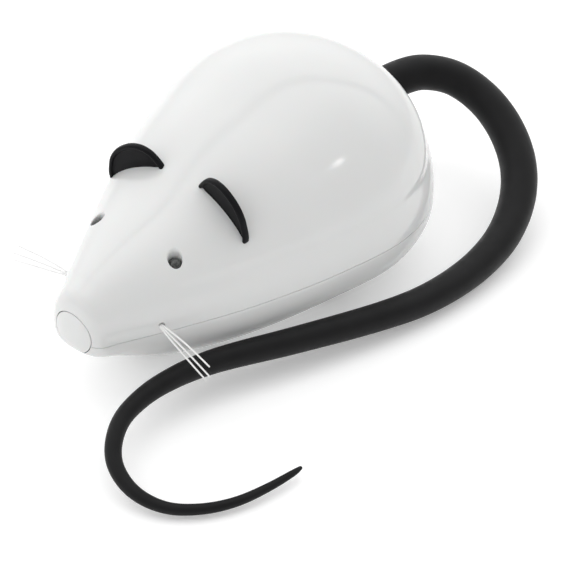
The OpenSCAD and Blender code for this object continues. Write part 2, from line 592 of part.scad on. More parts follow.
module front_axle() { color("silver") xcyl(1, -7.4, 7.4, -38, roller_r); }
module front_roller() {
  color([0.15, 0.15, 0.15]) translate([-4, -38, roller_r]) rotate([0, 90, 0]) rotate_extrude()
    polygon([[1.05, 0], [3, 0], [3, 0.6], [6.6, 0.6], [7.2, 0], [8, 0.8], [8, 7.2], [7.2, 8], [6.6, 7.4], [3, 7.4], [3, 8], [1.05, 8]]);
}
module shell_screws() {
  color("gray") sides() for (b = bosses) translate([b[0], b[1], 0]) difference() {
    union() {
      translate([0, 0, b[1] < 0 ? 9 : 15]) cylinder(r = 1.1, h = b[1] < 0 ? 23 : 17, $fn = 24);
      translate([0, 0, b[1] < 0 ? 7.2 : 13.2]) cylinder(r = 2.3, h = 1.8, $fn = 24);
    }
    translate([-3, -0.3, b[1] < 0 ? 6 : 12]) cube([6, 0.6, 2]);
    translate([-0.3, -3, b[1] < 0 ? 6 : 12]) cube([0.6, 6, 2]);
  }
}
// Lining of the hole that the winding key goes through
key_x = -side_x(A_ax[0], A_ax[1]);
module key_eyelet() {
  color("goldenrod") translate([key_x - 0.2, A_ax[0], A_ax[1]]) rotate([0, 90, 0]) difference() {
    cylinder(r = 4.1, h = 4.4);
    translate([0, 0, -1]) cylinder(r = 3.2, h = 8);
  }
}

upper_shell();
lower_shell();
nose_button();
push_rod();
nose_spring();
brake_lever();
brake_pad();
brake_pin();
ear_left();
ear_right();
ear_clips();
eye_left();
eye_right();
eye_washers();
whiskers_left();
whiskers_right();
whisker_plugs();
tail();
tail_collar();
motor_plate_left();
motor_plate_right();
pillars();
frame_screws();
mounting_screws();
mainspring();
winding_arbor();
ratchet_wheel();
click();
click_pin();
great_wheel();
second_arbor();
second_pinion();
second_gear();
third_arbor();
third_pinion();
third_gear();
governor_arbor();
governor_pinion();
flywheel();
drive_axle();
axle_pinion();
wheel_left();
wheel_right();
tyre_left();
tyre_right();
axle_caps();
front_axle();
front_roller();
shell_screws();
key_eyelet();
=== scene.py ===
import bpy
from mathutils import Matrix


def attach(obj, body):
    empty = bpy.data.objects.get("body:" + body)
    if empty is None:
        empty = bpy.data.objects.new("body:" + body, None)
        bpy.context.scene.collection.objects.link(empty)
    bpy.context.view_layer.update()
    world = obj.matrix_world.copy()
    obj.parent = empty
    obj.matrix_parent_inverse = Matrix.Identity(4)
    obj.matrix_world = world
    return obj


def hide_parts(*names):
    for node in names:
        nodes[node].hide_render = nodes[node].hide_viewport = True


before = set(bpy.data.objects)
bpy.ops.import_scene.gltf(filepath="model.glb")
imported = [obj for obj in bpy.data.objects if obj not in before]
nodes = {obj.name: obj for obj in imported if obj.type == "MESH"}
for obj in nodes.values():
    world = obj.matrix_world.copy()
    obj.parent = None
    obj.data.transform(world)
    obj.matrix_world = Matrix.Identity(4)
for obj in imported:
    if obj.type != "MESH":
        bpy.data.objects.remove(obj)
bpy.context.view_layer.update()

import math

import bmesh
import bpy
import numpy as np
from mathutils import Vector
from mathutils.bvhtree import BVHTree
from mathutils.geometry import barycentric_transform

MM = 0.001
scene = bpy.context.scene


# ------------------------------------------------------------ small helpers
def unit(v):
    v = np.asarray(v, float)
    return v / np.linalg.norm(v)


def new_object(name, verts, faces, body=None, recalc=True, smooth=True):
    """Object from points in millimetres and faces."""
    me = bpy.data.meshes.new(name)
    me.from_pydata((np.asarray(verts, float) * MM).tolist(), [], [tuple(int(i) for i in f) for f in faces])
    if recalc:
        bm = bmesh.new()
        bm.from_mesh(me)
        bmesh.ops.recalc_face_normals(bm, faces=bm.faces)
        bm.to_mesh(me)
        bm.free()
    me.update()
    if smooth:
        me.shade_smooth()
    ob = bpy.data.objects.new(name, me)
    scene.collection.objects.link(ob)
    return ob


def drop(*obs):
    for o in obs:
        me = o.data
        bpy.data.objects.remove(o)
        bpy.data.meshes.remove(me)


def stack_rings(rings, caps=(True, True)):
    """Closed tube through equal rings of points; a one-point ring closes to a tip."""
    verts, faces, starts = [], [], []
    for r in rings:
        starts.append((len(verts), len(r)))
        verts.extend(np.asarray(r, float).tolist())
    for (a, na), (b, nb) in zip(starts[:-1], starts[1:]):
        if na == 1:
            faces += [(a, b + j, b + (j + 1) % nb) for j in range(nb)]
        elif nb == 1:
            faces += [(a + j, b, a + (j + 1) % na) for j in range(na)]
        else:
            faces += [(a + j, b + j, b + (j + 1) % nb, a + (j + 1) % na) for j in range(na)]
    for end, (a, n) in ((0, starts[0]), (1, starts[-1])):
        if n > 1 and caps[end]:
            c = len(verts)
            verts.append(np.mean(verts[a:a + n], axis=0).tolist())
            faces += [(a + j, a + (j + 1) % n, c) for j in range(n)]
    return verts, faces


def boolean(ob, other, op):
    m = ob.modifiers.new("b", "BOOLEAN")
    m.operation, m.object, m.solver = op, other, "MANIFOLD"
    dg = bpy.context.evaluated_depsgraph_get()
    me = bpy.data.meshes.new_from_object(ob.evaluated_get(dg))
    if len(me.polygons) == 0:
        m.solver = "EXACT"
        dg = bpy.context.evaluated_depsgraph_get()
        me = bpy.data.meshes.new_from_object(ob.evaluated_get(dg))
    ob.modifiers.clear()
    old = ob.data
    ob.data = me
    bpy.data.meshes.remove(old)


def boxm(lo, hi, name="cut"):
    v = [(x, y, z) for x in (lo[0], hi[0]) for y in (lo[1], hi[1]) for z in (lo[2], hi[2])]
    f = [(0, 1, 3, 2), (4, 6, 7, 5), (0, 4, 5, 1), (2, 3, 7, 6), (0, 2, 6, 4), (1, 5, 7, 3)]
    return new_object(name, v, f, smooth=False)


def cylm(p0, p1, r, n=40, name="cut", r1=None):
    p0, p1 = np.asarray(p0, float), np.asarray(p1, float)
    d = unit(p1 - p0)
    a = unit(np.cross(d, [0.123, 0.57, 0.91]))
    b = np.cross(d, a)
    rr = (r, r if r1 is None else r1)
    rings = [[p + q * (math.cos(t) * a + math.sin(t) * b) for t in np.arange(n) * 2 * math.pi / n]
             for p, q in ((p0, rr[0]), (p1, rr[1]))]
    return new_object(name, *stack_rings(rings))


# ------------------------------------------------------------- body surface
STATIONS = np.array([
    [-75.0, 0.0, 21.5, 21.5], [-73.0, 8.8, 35.5, 18.2], [-66.0, 13.2, 40.2, 14.7], [-50.0, 22.4, 46.4, 6.8],
    [-28.0, 33.5, 53.2, 3.0], [0.0, 44.0, 64.2, 2.6], [28.0, 50.0, 71.5, 2.0], [52.0, 44.5, 68.0, 8.6],
    [68.0, 26.5, 52.6, 16.0], [74.0, 7.6, 39.0, 23.6], [75.0, 0.0, 32.0, 32.0]])
PART_Z, WALL, CREASE = 23.5, 2.2, 0.9
NOSE_Z, NOSE_R = 25.5, 6.9
TAIL_N, TAIL_C, TAIL_R = unit([0, 20, 1]), np.array([0, 74, 33.6]), 6.6
EYE = (15.4, -45.6)
KEY = (43.013, 35.743)


def stations(t):
    s = STATIONS.copy()
    s[:, 0] *= (75 - t) / 75
    s[1:-1, 1] -= t
    s[1:-1, 2] -= t
    s[1:-1, 3] += t
    zf, zr = STATIONS[0, 2], STATIONS[-1, 2]
    a = [s[1, 0], -s[1, 1], 2 * zf - s[1, 2], 2 * zf - s[1, 3]]
    b = [s[-2, 0], -s[-2, 1], 2 * zr - s[-2, 2], 2 * zr - s[-2, 3]]
    return np.vstack([a, s, b])


def ring_at(P, tau):
    tau = np.atleast_1d(np.asarray(tau, float))
    i = np.clip(np.floor(tau).astype(int), 0, 9) + 1
    u = (tau - (i - 1))[:, None]
    p0, p1, p2, p3 = P[i - 1], P[i], P[i + 1], P[i + 2]
    return 0.5 * (2 * p1 + (p2 - p0) * u + (2 * p0 - 5 * p1 + 4 * p2 - p3) * u * u
                  + (3 * p1 - p0 - 3 * p2 + p3) * u ** 3)


def crease_in(x, y, z):
    cz = np.where(y < 18, 35.5, np.where(y < 40, 35.5 + 1.7 * ((y - 18) / 22) ** 2,
                                         37.2 + 0.15 * (y - 40) + 0.034 * (y - 40) ** 2))
    sl = np.where(y < 18, 0, np.where(y < 40, 0.155 * (y - 18) / 22, 0.15 + 0.068 * (y - 40)))
    q = (z - cz) / np.sqrt(1 + sl ** 2)
    return CREASE * np.exp(-(q / np.where(q > 0, 2.7, 7)) ** 2) * np.clip((y + 66) / 24, 0, 1) * np.clip(np.abs(x) / 14, 0, 1)


def section(r, phi, creased=True):
    """Points round a ring (y, half width, top, belly) at angles phi."""
    y, w, zt, zb = r[..., 0], np.maximum(r[..., 1], 0.002), r[..., 2], r[..., 3]
    ze = np.clip(PART_Z, np.minimum(zb, zt), np.maximum(zb, zt))
    c, s = np.cos(phi), np.sin(phi)
    up = s >= 0
    k = 1 + np.where(up, 0.032, 0.114) * np.sin(2 * phi) ** 2
    x = w * c * k
    z = ze + np.where(up, zt - ze, ze - zb) * s * k
    y = y + 0 * x
    if creased:
        d = np.where(up, crease_in(x, y, z), 0)
        cz = ze + 6
        l = np.maximum(0.1, np.hypot(x, z - cz))
        x, z = x - x / l * d, z - (z - cz) / l * d
    return np.stack([x, y, z], -1)


def dense_tau(n):
    """Ring places: close together at the two rounded ends."""
    t = np.linspace(0, 1, n)
    t = 10 * t
    ends = np.array([0.02, 0.05, 0.1, 0.16, 0.24, 0.32, 0.42, 0.52, 0.64, 0.76, 0.88])
    mid = np.linspace(1, 9, n)
    return np.concatenate([[0.004], ends, mid, 10 - ends[::-1], [9.996]])


OUTER = stations(0)
TAU = dense_tau(170)


def closed_body(n_phi=240):
    R = ring_at(OUTER, TAU)
    phi = np.arange(n_phi) * 2 * math.pi / n_phi
    pts = section(R[:, None, :], phi[None, :])
    rings = [[[0, -75.0, 21.5]]] + list(pts) + [[[0, 75.0, 32.0]]]
    return new_object("reference", *stack_rings(rings))


ref = closed_body()
_m = ref.data
_m.calc_loop_triangles()
_vn = np.zeros(len(_m.vertices) * 3)
_m.vertex_normals.foreach_get("vector", _vn)
_vn = _vn.reshape(-1, 3)
_co = np.zeros(len(_m.vertices) * 3)
_m.vertices.foreach_get("co", _co)
_co = _co.reshape(-1, 3) / MM
_tri = np.array([t.vertices[:] for t in _m.loop_triangles])
TREE = BVHTree.FromPolygons(_co.tolist(), _tri.tolist())
_cov = [Vector(c) for c in _co]
_vnv = [Vector(c) for c in _vn]
drop(ref)


def surface_normal(p, idx=None):
    q, n, i, d = TREE.find_nearest(Vector(p))
    a, b, c = _tri[i]
    v = barycentric_transform(q, _cov[a], _cov[b], _cov[c], _vnv[a], _vnv[b], _vnv[c])
    return v.normalized(), d


def hit(origin, direction):
    """Where a line meets the body, and the normal there, in millimetres."""
    q, n, i, d = TREE.ray_cast(Vector(origin), Vector(direction))
    if q is None:
        raise RuntimeError("no surface at %s" % (origin,))
    return np.array(q), np.array(surface_normal(q)[0])


def top_point(x, y):
    return hit((x, y, 200), (0, 0, -1))


def half_solid(t, upper, tau, n_phi, lip, dropz, creased):
    """Half of the body, above or below the parting plane, as a closed solid."""
    P = stations(t)
    R = ring_at(P, tau)
    if upper:
        keep = R[:, 2] >= PART_Z + 0.4
    else:
        keep = R[:, 3] <= PART_Z - 0.4
    R = R[keep]
    sgn = 1 if upper else -1
    rings = []
    for r in R:
        y, w, zt, zb = r
        ze = min(max(PART_Z, min(zb, zt)), max(zb, zt))
        hgt = (zt - ze) if upper else (ze - zb)
        l = min(lip, 0.3 * w, 0.3 * hgt)
        if l > 0:
            p0 = math.asin(min(0.5, l / max(hgt, 1e-3)))
            phi = np.concatenate([np.linspace(p0, 0.35, n_phi // 5)[:-1],
                                  np.linspace(0.35, math.pi - 0.35, n_phi - 2 * (n_phi // 5) + 2),
                                  np.linspace(math.pi - 0.35, math.pi - p0, n_phi // 5)[1:]])
        else:
            phi = np.linspace(0, math.pi, n_phi)
        arc = section(r[None, :], sgn * phi, creased)
        if l > 0:
            def corner(p, s):
                return [[p[0] - s * 0.30 * l, y, ze + sgn * 0.30 * l], [p[0] - s * l, y, ze]]
            a, b = arc[0], arc[-1]
            pts = corner(a, 1)[::-1] + arc.tolist() + corner(b, -1)
        else:
            pts = arc.tolist() + [[arc[-1][0], y, ze - sgn * dropz], [arc[0][0], y, ze - sgn * dropz]]
        rings.append(pts)
    return rings


def solid_from_rings(rings, name):
    return new_object(name, *stack_rings(rings))


# ---------------------------------------------------------------- cutters
def bez(a, p, b, u):
    return (1 - u) ** 2 * a + 2 * u * (1 - u) * p + u * u * b


def lipped_hole(points, normals, axis, rho, deep, centre, out=2.5, name="cut"):
    """Cutter for a hole whose mouth is rolled over by rho. axis points into the body."""
    axis = unit(axis)
    rings = [[] for _ in range(8)]
    for p, n in zip(points, normals):
        rad = p - centre
        rad = unit(rad - axis * (rad @ axis))
        t = unit(rad - n * (rad @ n))
        b = p + rho * t + 0.02 * n
        a = p + rho * axis
        for k, q in enumerate([p + deep * axis, a, bez(a, p, b, 0.25), bez(a, p, b, 0.5),
                               bez(a, p, b, 0.75), bez(a, p, b, 0.9), b, b + n * out + t * 0.1]):
            rings[k].append(q)
    return new_object(name, *stack_rings(rings))


def round_hole(centre, axis, r, rho, deep, n=96, out=2.5, name="cut"):
    """The same for a round hole. axis points into the body, centre is outside or on the surface."""
    axis = unit(axis)
    a = unit(np.cross(axis, [0.2, 0.3, 0.93] if abs(axis[2]) < 0.9 else [1, 0, 0]))
    b = np.cross(axis, a)
    P, N = [], []
    for k in range(n):
        t = 2 * math.pi * k / n
        o = np.asarray(centre, float) + r * (math.cos(t) * a + math.sin(t) * b) - axis * 30
        p, nn = hit(o, axis)
        P.append(p)
        N.append(nn)
    return lipped_hole(P, N, axis, rho, deep, np.asarray(centre, float), out, name)


def finish_shell(ob, angle=0.6):
    """Shades the cut shell from the uncut surface, so that the holes leave no marks round them."""
    me = ob.data
    nv, nl = len(me.vertices), len(me.loops)
    bm = bmesh.new()
    bm.from_mesh(me)
    bmesh.ops.remove_doubles(bm, verts=bm.verts, dist=2e-6)
    bmesh.ops.dissolve_degenerate(bm, dist=2e-6, edges=bm.edges)
    bm.to_mesh(me)
    bm.free()
    nv, nl = len(me.vertices), len(me.loops)
    me.shade_smooth()
    me.set_sharp_from_angle(angle=angle)
    co = np.zeros(nv * 3)
    me.vertices.foreach_get("co", co)
    co = co.reshape(-1, 3) / MM
    rn = np.zeros((nv, 3))
    on = np.zeros(nv, bool)
    for i in range(nv):
        n, d = surface_normal(co[i])
        if d < 0.03:
            on[i] = True
            rn[i] = n
    cn = np.zeros(nl * 3)
    me.corner_normals.foreach_get("vector", cn)
    cn = cn.reshape(-1, 3)
    lv = np.zeros(nl, int)
    me.loops.foreach_get("vertex_index", lv)
    pn = np.zeros(len(me.polygons) * 3)
    me.polygons.foreach_get("normal", pn)
    pn = pn.reshape(-1, 3)
    tot = np.zeros(len(me.polygons), int)
    me.polygons.foreach_get("loop_total", tot)
    lp = np.repeat(np.arange(len(me.polygons)), tot)
    use = on[lv] & ((pn[lp] * rn[lv]).sum(1) > 0.7)
    cn[use] = rn[lv][use]
    me.normals_split_custom_set(cn.tolist())
    return ob


# ------------------------------------------------------------- the shells
def whisker_hole(s):
    return round_hole((s * 30, -56, 26.3), (-s, 0, 0), 0.9, 0.15, 8, n=48, out=1.5)


def upper_shell():
    ob = solid_from_rings(half_solid(0, True, TAU, 190, 0.1, 0, True), "mouse_upper_shell")
    cav = solid_from_rings(half_solid(WALL, True, dense_tau(60), 60, 0, 5, False), "cavity")
    cuts = [cav,
            round_hole((0, -78, NOSE_Z), (0, 1, 0), NOSE_R + 0.2, 0.32, 16, n=128),
            round_hole((EYE[0], EYE[1], 60), (0, 0, -1), 2.12, 0.85, 9, n=72, out=1.5),
            round_hole((-EYE[0], EYE[1], 60), (0, 0, -1), 2.12, 0.85, 9, n=72, out=1.5),
            round_hole(TAIL_C + TAIL_N * 6, -TAIL_N, TAIL_R + 0.22, 0.5, 9, n=96),
            round_hole((-60, KEY[0], KEY[1]), (1, 0, 0), 4.15, 0.4, 12, n=80),
            whisker_hole(1), whisker_hole(-1)]
    for c in cuts:
        boolean(ob, c, "DIFFERENCE")
    posts = []
    for s in (1, -1):
        for x, y, top in ((17, -31.5, top_point(20, -31.5)[0][2] - 1.2), (24, 55, top_point(24, 58)[0][2] - 2)):
            posts.append(cylm((s * x, y, PART_Z + 0.05), (s * x, y, top), 3.0, 32))
    posts.append(cylm((-46.2, KEY[0], KEY[1]), (-43, KEY[0], KEY[1]), 6, 48))
    for p in posts:
        boolean(ob, p, "UNION")
    bore = [cylm((s * x, y, 20), (s * x, y, 40), 1.12, 24) for s in (1, -1) for x, y in ((17, -31.5), (24, 55))]
    bore.append(cylm((-47.5, KEY[0], KEY[1]), (-40, KEY[0], KEY[1]), 4.15, 80))
    for p in bore:
        boolean(ob, p, "DIFFERENCE")
    drop(*cuts, *posts, *bore)
    return finish_shell(ob)


def rounded_slot(x0, x1, y0, y1, r, z0, z1, flare=0.6, n=8):
    """Slot with round corners, flared a little where it meets the belly."""
    def outline(g, z):
        pts = []
        for cx, cy, a0 in ((x1 - r, y1 - r, 0), (x0 + r, y1 - r, 90), (x0 + r, y0 + r, 180), (x1 - r, y0 + r, 270)):
            for k in range(n + 1):
                a = math.radians(a0 + 90 * k / n)
                pts.append([cx + (r + g) * math.cos(a), cy + (r + g) * math.sin(a), z])
        return pts
    return new_object("cut", *stack_rings([outline(flare, z0), outline(0, z1 - 0), outline(0, z1 + 8)]))


def lower_shell():
    ob = solid_from_rings(half_solid(0, False, TAU, 170, 0.1, 0, False), "mouse_lower_shell")
    co = np.zeros(len(ob.data.vertices) * 3)
    ob.data.vertices.foreach_get("co", co)
    co = co.reshape(-1, 3)
    flat = np.abs(co[:, 2] - PART_Z * MM) < 1e-7
    co[flat, 2] -= 0.13 * MM
    low = np.abs(co[:, 2] - (PART_Z - 0.03) * MM) < 3e-6
    co[low, 2] -= 0.10 * MM
    lip = (co[:, 2] > (PART_Z - 0.125) * MM) & ~flat & ~low
    co[lip, 2] -= 0.07 * MM
    ob.data.vertices.foreach_set("co", co.ravel())
    ob.data.update()
    cav = solid_from_rings(half_solid(WALL, False, dense_tau(60), 60, 0, 5, False), "cavity")
    posts = []
    for s in (1, -1):
        posts += [cylm((s * 17, -31.5, 7), (s * 17, -31.5, PART_Z - 0.2), 3, 32),
                  cylm((s * 24, 55, 14.4), (s * 24, 55, PART_Z - 0.2), 3, 32),
                  cylm((s * 16, 5, 3.4), (s * 16, 5, 10), 3, 32),
                  cylm((s * 16, 43, 7.4), (s * 16, 43, 10), 3, 32)]
        a, b = sorted((s * 22.6, s * 24.2))
        posts.append(boxm((a, 5.5, 3.7), (b, 42.5, 11)))
    posts += [boxm((-7.6, -42, 6.0), (-5, -34, 13)), boxm((5, -42, 6.0), (7.6, -34, 13)),
              boxm((-4.5, -52, 8.4), (1.5, -49, 28.5))]
    boolean(ob, cav, "DIFFERENCE")
    for p in posts:
        boolean(ob, p, "UNION")
    cuts = [round_hole((0, -78, NOSE_Z), (0, 1, 0), NOSE_R + 0.2, 0.32, 16, n=128), cylm((0, -68.7, NOSE_Z), (0, -61, NOSE_Z), 7.75, 64),
            rounded_slot(24.6, 33.4, 7.4, 40.6, 1.6, -3, 4.0), rounded_slot(-33.4, -24.6, 7.4, 40.6, 1.6, -3, 4.0),
            rounded_slot(-4.8, 4.8, -47.6, -28.4, 1.6, -3, 7.0),
            cylm((-12, -38, 8), (12, -38, 8), 1.03, 24), cylm((-1.5, -60, NOSE_Z), (-1.5, -40, NOSE_Z), 1.5, 24)]
    for s in (1, -1):
        cuts += [cylm((s * 17, -31.5, -3), (s * 17, -31.5, 9), 2.6, 40), cylm((s * 17, -31.5, 8.5), (s * 17, -31.5, 30), 1.5, 24),
                 cylm((s * 24, 55, -3), (s * 24, 55, 15), 2.6, 40), cylm((s * 24, 55, 14.5), (s * 24, 55, 30), 1.5, 24)]
    for c in cuts:
        boolean(ob, c, "DIFFERENCE")
    drop(cav, *posts, *cuts)
    return finish_shell(ob)


def nose_button():
    n, rho = 144, 0.24
    ths = np.arange(n) * 2 * math.pi / n
    rings = [[hit((0, -95, NOSE_Z), (0, 1, 0))[0]]]
    for r in np.concatenate([np.linspace(0.35, NOSE_R - 0.9, 18), [NOSE_R - 0.6, NOSE_R - 0.4, NOSE_R - rho]]):
        rings.append([hit((r * math.cos(t), -95, NOSE_Z + r * math.sin(t)), (0, 1, 0))[0] for t in ths])
    edge = [hit((NOSE_R * math.cos(t), -95, NOSE_Z + NOSE_R * math.sin(t)), (0, 1, 0))[0] for t in ths]
    for u in (0.75, 0.5, 0.25, 0.0):
        rings.append([bez(p + np.array([0, rho + 0.15, 0]), p, b, u) for p, b in zip(edge, rings[21])])

    def disc(r, y, cx=0.0):
        return [[cx + r * math.cos(t), y, NOSE_Z + r * math.sin(t)] for t in ths]
    rings += [disc(NOSE_R, -68.5), disc(7.5, -68.4), disc(7.5, -67.2), disc(2.6, -67.2, -1.5), disc(2.6, -64, -1.5)]
    ob = new_object("nose_cap", *stack_rings(rings))
    return finish_shell(ob, 0.7)


# ------------------------------------------------------------------- ears
def closed_curve(P, n):
    P = np.asarray(P, float)
    m = len(P)
    out = []
    for i in range(m):
        p0, p1, p2, p3 = P[(i - 1) % m], P[i], P[(i + 1) % m], P[(i + 2) % m]
        for k in range(n):
            u = k / n
            out.append(0.5 * (2 * p1 + (p2 - p0) * u + (2 * p0 - 5 * p1 + 4 * p2 - p3) * u * u
                              + (3 * p1 - p0 - 3 * p2 + p3) * u ** 3))
    return np.array(out)


def ear(side):
    A, B = top_point(7.0, -23.9)[0], top_point(27.6, -26.6)[0]
    u = unit(B - A)
    h = unit([0.35, -0.15, 0.89])
    h = unit(h - u * (h @ u))
    w = np.cross(u, h)
    c = (A + B) / 2

    def base(x):
        p, n, i, d = TREE.ray_cast(Vector(c + u * x + h * 20), Vector(-h))
        return 20 - d
    top = [(11.3, 0.2), (11.0, 1.5), (10.1, 3.1), (8.7, 4.9), (6.6, 7.2), (3.8, 9.0), (0.4, 10.0), (-3.7, 10.1),
           (-7.5, 8.8), (-10.1, 6.2), (-11.2, 3.2), (-11.6, 0.3)]
    low = [(x, base(x) - 1.5) for x in (-11.2, -8, -4, 0, 4, 8, 10.8)]
    O = closed_curve(top + low, 8)
    d = np.roll(O, -1, 0) - np.roll(O, 1, 0)
    d /= np.linalg.norm(d, axis=1)[:, None]
    N = np.stack([d[:, 1], -d[:, 0]], 1)
    cen = np.array([-0.4, 4.0])
    if ((O - cen) * N).sum() < 0:
        N = -N
    # inward distance, then shrink towards the middle, then height across the ear
    prof = [(1.6, 0.02, -1.12), (1.6, 0.35, -1.14), (1.6, 0.7, -1.14), (1.3, 0.97, -1.12), (0.75, 1, -1.08),
            (0.35, 1, -0.96), (0.12, 1, -0.76), (0.02, 1, -0.5), (0, 1, 0), (0.02, 1, 0.52), (0.1, 1, 0.78),
            (0.28, 1, 0.98), (0.5, 1, 1.08), (0.75, 1, 1.1), (1.0, 1, 1.08), (1.16, 1, 0.98), (1.25, 1, 0.8),
            (1.31, 1, 0.58), (1.42, 1, 0.42), (1.6, 1, 0.34), (1.6, 0.9, 0.3), (1.6, 0.6, 0.26), (1.6, 0.3, 0.25),
            (1.6, 0.02, 0.25)]
    rings = []
    for di, f, z in prof:
        q = cen + f * (O - N * di - cen)
        rings.append([c + u * a + h * b + w * z for a, b in q])
    V, F = stack_rings(rings)
    V = np.array(V)
    if side < 0:
        V[:, 0] *= -1
    ob = new_object("ear_shell_left" if side > 0 else "ear_shell_right", V, F)
    ob.data.set_sharp_from_angle(angle=0.9)
    return ob


# ------------------------------------------------------------------- eyes
def eye(side):
    p, n = top_point(*EYE)
    top = p[2] - 0.75
    rings = [[[0, 0, top]]]
    for k in range(1, 15):
        a = k / 14 * math.radians(62)
        rings.append([(2.25 * math.sin(a), 2.25 * (1 - math.cos(a)))])
    prof = [(2.25 * math.sin(k / 14 * math.radians(62)), -2.25 * (1 - math.cos(k / 14 * math.radians(62))))
            for k in range(1, 15)]
    r0, z0 = prof[-1]
    prof += [(2.02, z0 - 0.14), (2.04, z0 - 0.4), (2.04, -9.9), (1.9, -10)]
    ths = np.arange(64) * 2 * math.pi / 64
    rings = [[[side * EYE[0], EYE[1], top]]]
    for r, z in prof:
        rings.append([[side * EYE[0] + r * math.cos(t), EYE[1] + r * math.sin(t), top + z] for t in ths])
    return new_object("eye_bead_left" if side > 0 else "eye_bead_right", *stack_rings(rings))


# --------------------------------------------------------------- whiskers
WH_L = [[0.93, -0.15, -0.33], [0.95, -0.14, -0.25], [0.98, -0.12, -0.15]]
WH_R = [[0.985, -0.12, -0.13], [0.985, -0.11, -0.03], [0.97, -0.09, 0.1]]
WH_LEN = [23, 23.6, 22]


def whiskers(side):
    dirs = WH_L if side > 0 else WH_R
    V, F = [], []
    for i in range(3):
        d = unit(dirs[i])
        a = unit(np.cross(d, [0, 0, 1]))
        b = np.cross(a, d)
        root = np.array([17.2, -56 + 0.5 * (i - 1), 26.3])
        L = WH_LEN[i]
        root = root + np.array([0, 0.3 * (1 - i) * 0.6, 0])
        rings = []
        for k in range(25):
            t = k / 24
            q = root + d * L * t + b * (0.5 * math.sin(math.pi * t) * (0.4 + 0.25 * i)) \
                + a * 0.25 * math.sin(math.pi * t) * (1 - i)
            r = 0.32 * (1 - 0.25 * t) * (1 + 0.015 * math.sin(40 * t + i))
            rings.append([q + r * (math.cos(s) * a + math.sin(s) * b) for s in np.arange(12) * math.pi / 6])
        tip = root + d * (L + 0.1)
        rings.append([tip + 0.09 * (math.cos(s) * a + math.sin(s) * b) for s in np.arange(12) * math.pi / 6])
        v, f = stack_rings(rings)
        F += [tuple(j + len(V) for j in q) for q in f]
        V += v
    V = np.array(V)
    if side < 0:
        V[:, 0] *= -1
    return new_object("whisker_strands_left" if side > 0 else "whisker_strands_right", V, F)


# ------------------------------------------------------------------- tail
TAIL = np.array([
    [0, 67.8, 33.1, 6.4], [0, 71, 33.3, 6.5], [0, 75.5, 33.7, 6.6], [1.3, 83, 34.4, 6.6], [4.2, 90.8, 35.8, 6.6],
    [9.2, 98.2, 36.7, 6.45], [18.6, 104.9, 34.7, 6.35], [30.9, 106.1, 30, 6.4], [43.1, 102, 24.2, 6.45],
    [53.6, 93.6, 18.1, 6.4], [60.6, 82.1, 12.4, 6.2], [64.6, 67, 8.2, 5.8], [65.2, 51.4, 6.2, 5.4],
    [63.6, 36, 5.7, 5.1], [60.4, 21.5, 6.1, 4.85], [55.9, 8.1, 7.3, 4.6], [50.9, -3.9, 8.4, 4.45],
    [45.6, -15.6, 9.5, 4.3], [40.5, -26.5, 10.5, 4.15], [34.8, -37.4, 11.3, 3.95], [29.9, -47.9, 12, 3.7],
    [26.2, -58.8, 12.2, 3.35], [24.2, -70.4, 12, 3], [24.9, -82, 10.5, 2.7], [30.9, -91.6, 7.6, 2.45],
    [40.5, -95.2, 4.6, 2.1], [50.7, -93.4, 2.9, 1.75], [58.9, -87.4, 2.5, 1.6], [65.1, -79.1, 2.6, 1.45],
    [69, -69.5, 2.9, 1.25], [71.2, -61.1, 3, 1], [71.7, -58, 3, 0.6]], float)



def tail():
    sub, k = 10, 40
    n = len(TAIL)
    P = []
    for i in range(n - 1):
        p0, p1, p2, p3 = TAIL[max(i - 1, 0)], TAIL[i], TAIL[i + 1], TAIL[min(i + 2, n - 1)]
        for j in range(sub):
            u = j / sub
            P.append(0.5 * (2 * p1 + (p2 - p0) * u + (2 * p0 - 5 * p1 + 4 * p2 - p3) * u * u
                            + (3 * p1 - p0 - 3 * p2 + p3) * u ** 3))
    P.append(TAIL[-1])
    P = np.array(P)
    # smooth the route a little between its points
    for _ in range(6):
        Q = P.copy()
        Q[1:-1] = 0.25 * P[:-2] + 0.5 * P[1:-1] + 0.25 * P[2:]
        P = Q
    T = np.gradient(P[:, :3], axis=0)
    T /= np.linalg.norm(T, axis=1)[:, None]
    rings = []
    ths = np.arange(k) * 2 * math.pi / k

    def ring(c, t, r):
        sd = unit(np.cross([0, 0, 1], t))
        up = np.cross(t, sd)
        return [c + r * (math.cos(a) * sd + math.sin(a) * up) for a in ths]
    for a in (80, 60, 40, 20):
        a = math.radians(a)
        rings.append(ring(P[0, :3] - T[0] * math.sin(a) * 1.2, T[0], P[0, 3] * (0.75 + 0.25 * math.cos(a))))
    for p, t in zip(P, T):
        rings.append(ring(p[:3], t, p[3]))
    r = P[-1, 3]
    for a in (20, 40, 60, 75):
        a = math.radians(a)
        rings.append(ring(P[-1, :3] + T[-1] * math.sin(a) * r, T[-1], r * math.cos(a)))
    rings.append([P[-1, :3] + T[-1] * r])
    return new_object("tail_skin", *stack_rings(rings))


